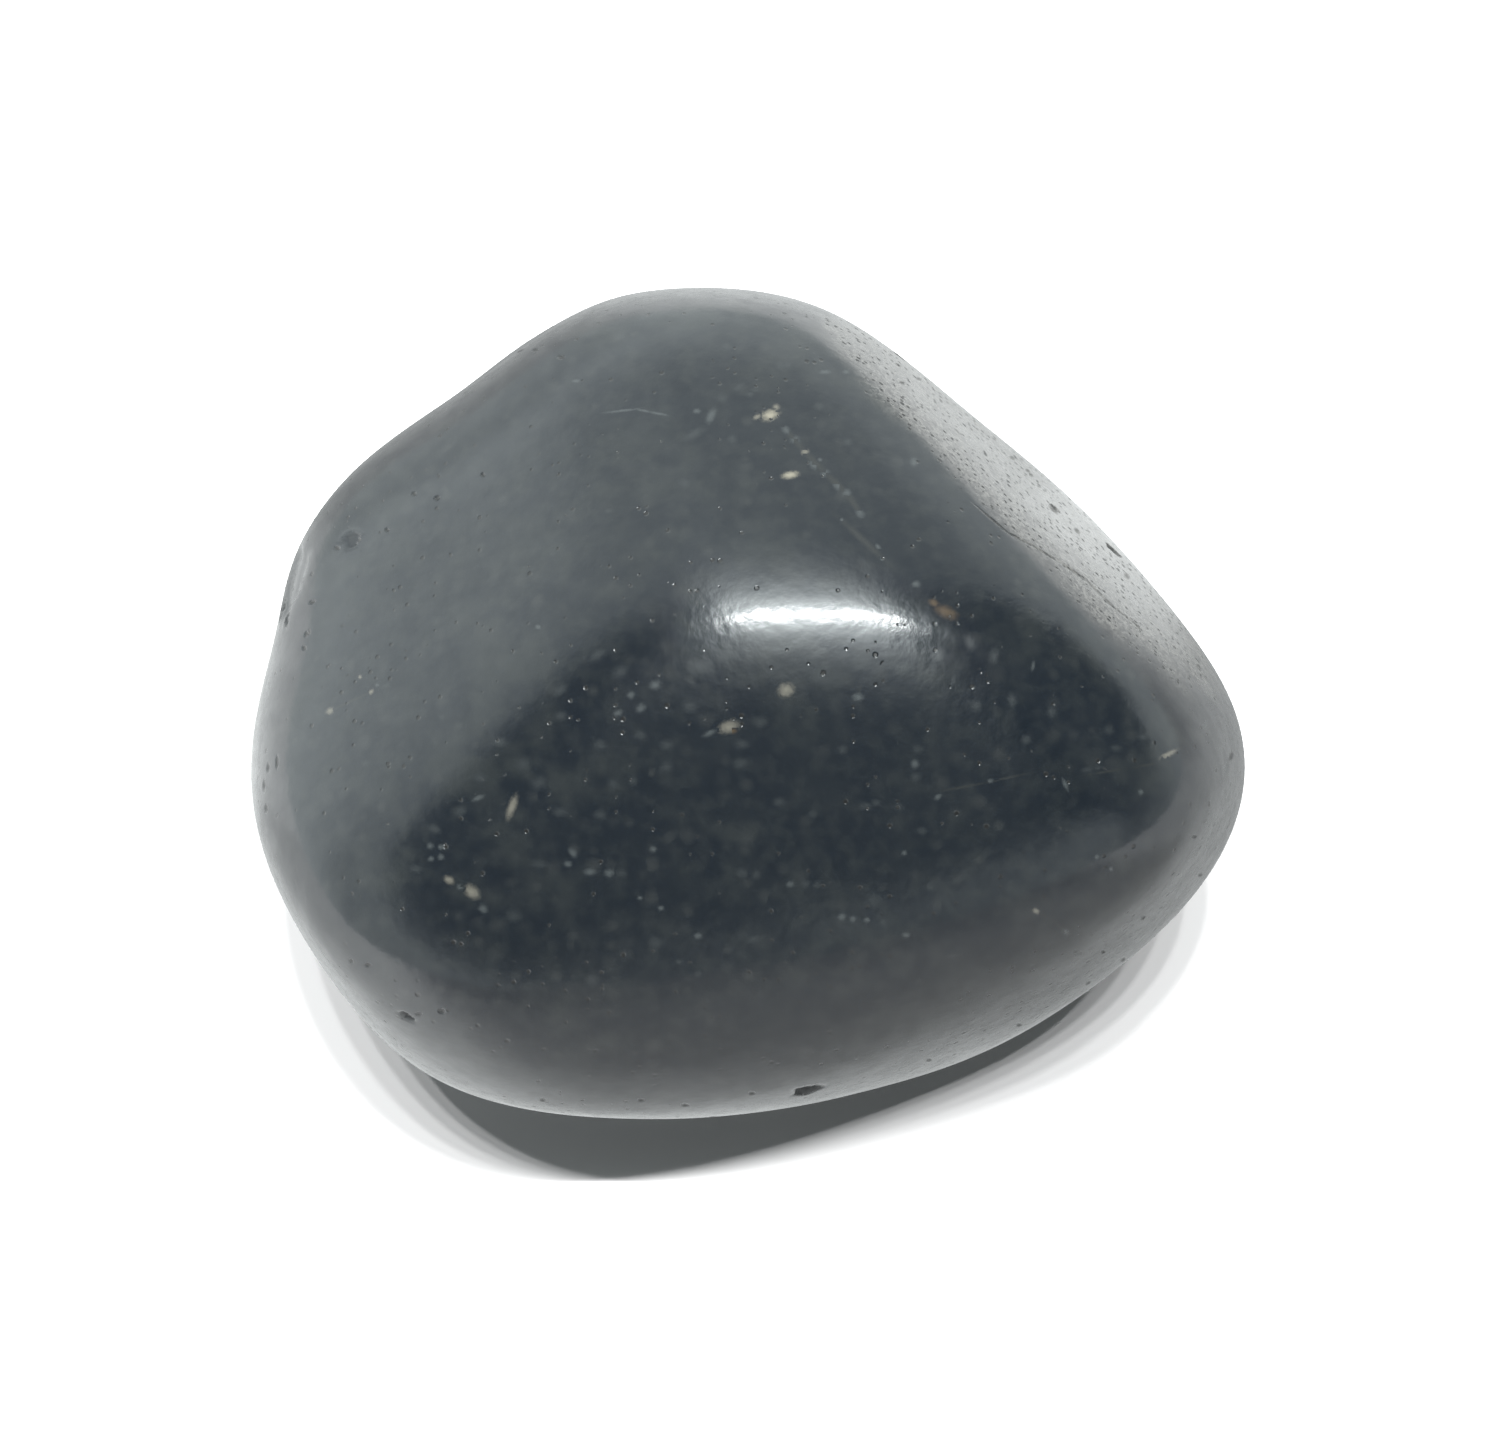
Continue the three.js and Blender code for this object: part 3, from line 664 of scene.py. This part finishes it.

# ---- Floor ------------------------------------------------------------------------------------
# A plain white sheet. What the stone's polish mirrors of it is a painted glow: painted window
# light towards the left and the back, and a painted shadow of the viewer in a wedge that widens
# towards the viewer.
FLOOR_HALF = 1500 * MM
SHEET_WHITE, SHEET_ROUGHNESS = (0.84, 0.84, 0.84, 1), 0.9
SHEET_LIGHT, SHEET_TINT = 0.68, (0.965, 1, 1, 1)

# The painted window light: the azimuth from the sheet's middle, the leans towards it at which
# the light starts and is full, and how much light it is.
WINDOWS = (
    ("back", 75, 0.82, 0.97, 0.52),
    ("left", 203, 0.6, 0.9, 0.45),
    ("back left", 153, 0.93, 0.99, 0.62),
)

# The painted glow is dimmer far off on the right, and paler near by, below the slope.
DIM_AZIMUTH, DIM_LEANS, DIM_FAR, DIM_LIGHT = 42, (0.90, 0.99), (30 * MM, 120 * MM), 0.22
PALE_AZIMUTH, PALE_LEANS, PALE_FAR, PALE_LIGHT = 50, (0.98, 0.998), (36 * MM, 44 * MM), 0.45

# The wedge of painted shadow: its middle and half width, how both grow towards the viewer, its
# soft sides as shares of its half width, its soft tip, and its light close by and far off.
WEDGE_MIDDLE, WEDGE_LEAN, WEDGE_HALF, WEDGE_SPREAD = 14 * MM, 0.035, 14 * MM, 0.335
WEDGE_SIDES, WEDGE_TIP = (0.6, 1.5), (-11.5 * MM, -4 * MM)
WEDGE_FAR, WEDGE_LIGHTS = (20 * MM, 120 * MM), (0.42, 0.30)

# Its near left corner has brighter painted light, and so has a ring about the foot of the stone.
CORNER_FAR, CORNER_SIDE, CORNER_LIGHT = (13 * MM, 23 * MM), (-4 * MM, 7 * MM), 0.4
FOOT_FAR, FOOT_LIGHT = (11.5 * MM, 14.5 * MM), 0.4

floor_mesh = bpy.data.meshes.new("floor")
around = ((-1, -1), (1, -1), (1, 1), (-1, 1))
floor_corners = [(x * FLOOR_HALF, y * FLOOR_HALF, 0) for x, y in around]
floor_mesh.from_pydata(floor_corners, [], [(0, 1, 2, 3)])
floor = bpy.data.objects.new("floor", floor_mesh)
bpy.context.scene.collection.objects.link(floor)

sheet = bpy.data.materials.new("white_sheet")
sheet.use_nodes = True
nodes, links = sheet.node_tree.nodes, sheet.node_tree.links
spot = nodes.new("ShaderNodeTexCoord").outputs["Object"]
spot_parts = nodes.new("ShaderNodeSeparateXYZ")
links.new(spot, spot_parts.inputs["Vector"])
spot_x, spot_y = spot_parts.outputs["X"], spot_parts.outputs["Y"]
spot_far = vector_node("LENGTH", spot).outputs["Value"]
spot_way = vector_node("NORMALIZE", spot).outputs["Vector"]


def spot_lean(azimuth):
    """How far the way from the sheet's middle to a spot on it leans towards an azimuth."""
    return vector_node("DOT_PRODUCT", spot_way, facing(azimuth, 0)).outputs["Value"]


sheet_light = SHEET_LIGHT
for _, azimuth, start, full, light in WINDOWS:
    sheet_light = number("ADD", sheet_light, ramp(spot_lean(azimuth), start, full, 0, light))
dim = number("MULTIPLY", ramp(spot_lean(DIM_AZIMUTH), *DIM_LEANS), ramp(spot_far, *DIM_FAR))
sheet_light = number("MULTIPLY_ADD", dim, -DIM_LIGHT, sheet_light)
pale = ramp(spot_lean(PALE_AZIMUTH), *PALE_LEANS)
pale = number("MULTIPLY", pale, ramp(spot_far, *PALE_FAR, 1, 0))
sheet_light = number("MULTIPLY_ADD", pale, PALE_LIGHT, sheet_light)

in_front = number("MAXIMUM", number("MULTIPLY", spot_y, -1), 0)
wedge_half = number("MULTIPLY_ADD", in_front, WEDGE_SPREAD, WEDGE_HALF)
wedge_middle = number("MULTIPLY_ADD", in_front, WEDGE_LEAN, WEDGE_MIDDLE)
off_wedge = number("ABSOLUTE", number("SUBTRACT", spot_x, wedge_middle))
wedge = ramp(number("DIVIDE", off_wedge, wedge_half), *WEDGE_SIDES, 1, 0)
wedge = number("MULTIPLY", wedge, ramp(spot_y, *WEDGE_TIP, 1, 0))
corner = number("MULTIPLY", ramp(in_front, *CORNER_FAR, 1, 0), ramp(spot_x, *CORNER_SIDE, 1, 0))
wedge_light = ramp(in_front, *WEDGE_FAR, *WEDGE_LIGHTS)
wedge_light = number("MULTIPLY_ADD", corner, CORNER_LIGHT, wedge_light)
darker = number("SUBTRACT", wedge_light, sheet_light)
sheet_light = number("MULTIPLY_ADD", darker, wedge, sheet_light)
sheet_light = number("ADD", sheet_light, ramp(spot_far, *FOOT_FAR, FOOT_LIGHT, 0))

paint = nodes["Principled BSDF"]
paint.inputs["Base Color"].default_value = SHEET_WHITE
paint.inputs["Roughness"].default_value = SHEET_ROUGHNESS
paint.inputs["Specular IOR Level"].default_value = 0.0
# The painted glow that the polish mirrors in place of the sheet's lit paint.
painted_glow = nodes.new("ShaderNodeEmission")
painted_glow.inputs["Color"].default_value = SHEET_TINT
links.new(sheet_light, painted_glow.inputs["Strength"])
path = nodes.new("ShaderNodeLightPath")
either = nodes.new("ShaderNodeMixShader")
links.new(path.outputs["Is Glossy Ray"], either.inputs["Fac"])
links.new(paint.outputs["BSDF"], either.inputs[1])
links.new(painted_glow.outputs["Emission"], either.inputs[2])
links.new(either.outputs["Shader"], nodes["Material Output"].inputs["Surface"])
floor_mesh.materials.append(sheet)

# ---- Light ------------------------------------------------------------------------------------
# A strip lamp hangs above and a little in front. Its row of cells makes the shadow's soft streaks.
# Around the stone is a pale surround, brighter on the left, with an unlit gap about the viewer.
LAMP_PLACE = (15 * MM, -133 * MM, 500 * MM)
LAMP_LENGTH, LAMP_WIDTH, LAMP_POWER, LAMP_TURN = 130 * MM, 12 * MM, 0.2, 10
CELLS, CELL_POWER, CELL_SIDE = 11, 0.64, 12 * MM
ROW_START, ROW_STEP, ROW_FRONT, ROW_HEIGHT = -215 * MM, 44 * MM, -120 * MM, 500 * MM


def hung_lamp(name, place, length, width, power, turn=0):
    """A flat bright rectangle at a place, facing the floor's middle and turned by some degrees."""
    data = bpy.data.lights.new(name, "AREA")
    data.shape = "RECTANGLE"
    data.size = length
    data.size_y = width
    data.energy = power
    lamp = bpy.data.objects.new(name, data)
    lamp.location = place
    level = Vector(place).to_track_quat("Z", "Y").to_matrix()
    lamp.rotation_euler = (level @ Matrix.Rotation(math.radians(turn), 3, "Z")).to_euler()
    bpy.context.scene.collection.objects.link(lamp)
    return lamp


strip = hung_lamp("strip_lamp", LAMP_PLACE, LAMP_LENGTH, LAMP_WIDTH, LAMP_POWER, LAMP_TURN)
strip.visible_diffuse = False
for cell in range(CELLS):
    cell_place = (ROW_START + cell * ROW_STEP, ROW_FRONT, ROW_HEIGHT)
    strip_cell = hung_lamp("strip_cell", cell_place, CELL_SIDE, CELL_SIDE, CELL_POWER)
    strip_cell.visible_glossy = False

# The surround's light on the side away from the viewer and on the viewer's own, its share at the
# left and at the right, and the patches where it differs: azimuth, elevation, the leans where a
# patch starts and is full, and its share.
ROOM_LEANS, ROOM_LIGHTS = (-0.3, 0.6), (0.88, 0.42)
SIDE_LEANS, SIDE_SHARES = (-0.8, 0.9), (1.4, 0.72)
PATCHES = (
    ("low back", 125, 8, 0.86, 0.97, 0.72),
    ("left", 160, 33, 0.90, 0.985, 1.14),
    ("high back", 78, 55, 0.93, 0.985, 0.9),
)
ROOM_TINT = (0.92, 1, 1.005, 1)
ROOM_LIGHT_KEPT_FROM_PAINT = 0.6
BACKDROP_LIGHT = 1.2

world = bpy.data.worlds.new("studio")
world.use_nodes = True
bpy.context.scene.world = world
nodes, links = world.node_tree.nodes, world.node_tree.links
ray = nodes.new("ShaderNodeTexCoord").outputs["Generated"]


def ray_lean(way):
    """How far the direction of a ray leans along one way."""
    return vector_node("DOT_PRODUCT", ray, way).outputs["Value"]


toward = ray_lean(view_back)
bright = ramp(toward, *ROOM_LEANS, *ROOM_LIGHTS)
bright = number("MULTIPLY", bright, ramp(ray_lean(view_right), *SIDE_LEANS, *SIDE_SHARES))
for _, azimuth, elevation, start, full, share in PATCHES:
    patch = ramp(ray_lean(facing(azimuth, elevation)), start, full, 1, share)
    bright = number("MULTIPLY", bright, patch)

# The gap, measured from the way to the viewer as slopes sideways and upward: the soft edges, how
# much they slant, and up to what slope the left one does.
LEAST_AHEAD = 0.05
GAP_LEFT, GAP_RIGHT, GAP_TOP, GAP_BACK = (-1.0, -0.45), (0.52, 2.2), (0.3, 1.0), (-0.3, 0.1)
LEFT_SLANT, LEFT_SLANT_TOP, TOP_SLANT = 0.6, 0.25, 0.98
RIGHT_SLANT_ABOVE, RIGHT_SLANT_BELOW = 1.3, 0.6
ahead = number("MAXIMUM", toward, LEAST_AHEAD)
sideways = number("DIVIDE", ray_lean(view_right), ahead)
upward = number("DIVIDE", ray_lean(view_up), ahead)
above = number("MAXIMUM", upward, 0)
below = number("MAXIMUM", number("MULTIPLY", upward, -1), 0)
left_edge = number("MULTIPLY_ADD", number("MINIMUM", upward, LEFT_SLANT_TOP), LEFT_SLANT, sideways)
right_edge = number("MULTIPLY_ADD", below, RIGHT_SLANT_BELOW, sideways)
right_edge = number("MULTIPLY_ADD", above, -RIGHT_SLANT_ABOVE, right_edge)
top_edge = number("MULTIPLY_ADD", number("MAXIMUM", sideways, 0), -TOP_SLANT, upward)
gap = number("MULTIPLY", ramp(left_edge, *GAP_LEFT), ramp(right_edge, *GAP_RIGHT, 1, 0))
gap = number("MULTIPLY", gap, ramp(top_edge, *GAP_TOP, 1, 0))
gap = number("MULTIPLY", gap, ramp(toward, *GAP_BACK))

# What little light is in the gap: it dips and rises again towards the right, and has two gleams.
GAP_LIGHT, DIP_PLACE, DIP_LIGHT = 0.125, (0.08, 0.25), 0.07
RISE_PLACE, RISE_LIGHT = (0.26, 0.45), 0.06
GLEAMS = (
    ("low", 290, 10, 0.93, 0.995, 0.28),
    ("high", 266, 58, 0.94, 0.995, 0.10),
)
gap_light = ramp(sideways, *DIP_PLACE, GAP_LIGHT, DIP_LIGHT)
gap_light = number("ADD", gap_light, ramp(sideways, *RISE_PLACE, 0, RISE_LIGHT))
for _, azimuth, elevation, start, full, light in GLEAMS:
    gleam = ramp(ray_lean(facing(azimuth, elevation)), start, full, 0, light)
    gap_light = number("ADD", gap_light, gleam)
lit = number("MULTIPLY_ADD", number("SUBTRACT", gap_light, bright), gap, bright)

# The strip's glow: the way to it and roughly the way across it, how bright it is, over what slope
# it fades, half its length, how fast it fades past its ends, and where it is cut off.
GLOW_WAY, GLOW_ACROSS = (0.028, -0.258, 0.966), (-0.17, 1, 0)
GLOW_LIGHT, GLOW_REACH, GLOW_HALF, GLOW_ENDS = 6.5, 0.16, 0.115, 4.5
GLOW_CUT, GLOW_CUT_SHARE, GLOW_CUT_TOP = (0.115, 0.19), 0.12, (0.34, 0.5)
glow_side = np.cross(GLOW_ACROSS, GLOW_WAY)
glow_side = glow_side / np.linalg.norm(glow_side)
glow_ahead = number("MAXIMUM", ray_lean(GLOW_WAY), LEAST_AHEAD)
glow_across = number("DIVIDE", ray_lean(np.cross(GLOW_WAY, glow_side)), glow_ahead)
glow_along = number("ABSOLUTE", number("DIVIDE", ray_lean(glow_side), glow_ahead))
past_end = number("MAXIMUM", number("SUBTRACT", glow_along, GLOW_HALF), 0)
past_end = number("MULTIPLY", past_end, GLOW_ENDS)
glow_off = number("MULTIPLY_ADD", past_end, past_end, number("MULTIPLY", glow_across, glow_across))
glow = number("EXPONENT", number("DIVIDE", number("SQRT", glow_off), -GLOW_REACH))
glow_cut = ramp(sideways, *GLOW_CUT, 1, GLOW_CUT_SHARE)
glow_cut = number("MAXIMUM", glow_cut, ramp(upward, *GLOW_CUT_TOP))
lit = number("MULTIPLY_ADD", number("MULTIPLY", glow, glow_cut), GLOW_LIGHT, lit)

# The sheet's paint gets less of all this than the polish mirrors, and the lens sees plain white.
path = nodes.new("ShaderNodeLightPath")
for_paint = number("MULTIPLY_ADD", path.outputs["Is Diffuse Ray"], -ROOM_LIGHT_KEPT_FROM_PAINT, 1)
lit = number("MULTIPLY", lit, for_paint)
lit = number("MAXIMUM", lit, number("MULTIPLY", path.outputs["Is Camera Ray"], BACKDROP_LIGHT))
nodes["Background"].inputs["Color"].default_value = ROOM_TINT
links.new(lit, nodes["Background"].inputs["Strength"])

# ---- Camera -----------------------------------------------------------------------------------
# The long lens that the marks are placed through. It looks down on the stone's front face.
SENSOR = 36
CLIP_START = 10 * MM
camera_data = bpy.data.cameras.new("camera")
camera_data.sensor_width = SENSOR
camera_data.lens = SENSOR * PIXELS_PER_METRE * CAMERA_DISTANCE / IMAGE_WIDTH
camera_data.clip_start = CLIP_START
camera = bpy.data.objects.new("camera", camera_data)
camera.location = camera_place
camera.rotation_euler = (math.radians(90 - CAMERA_LIFT), 0, 0)
bpy.context.scene.collection.objects.link(camera)
bpy.context.scene.camera = camera
bpy.context.scene.view_settings.view_transform = "Standard"
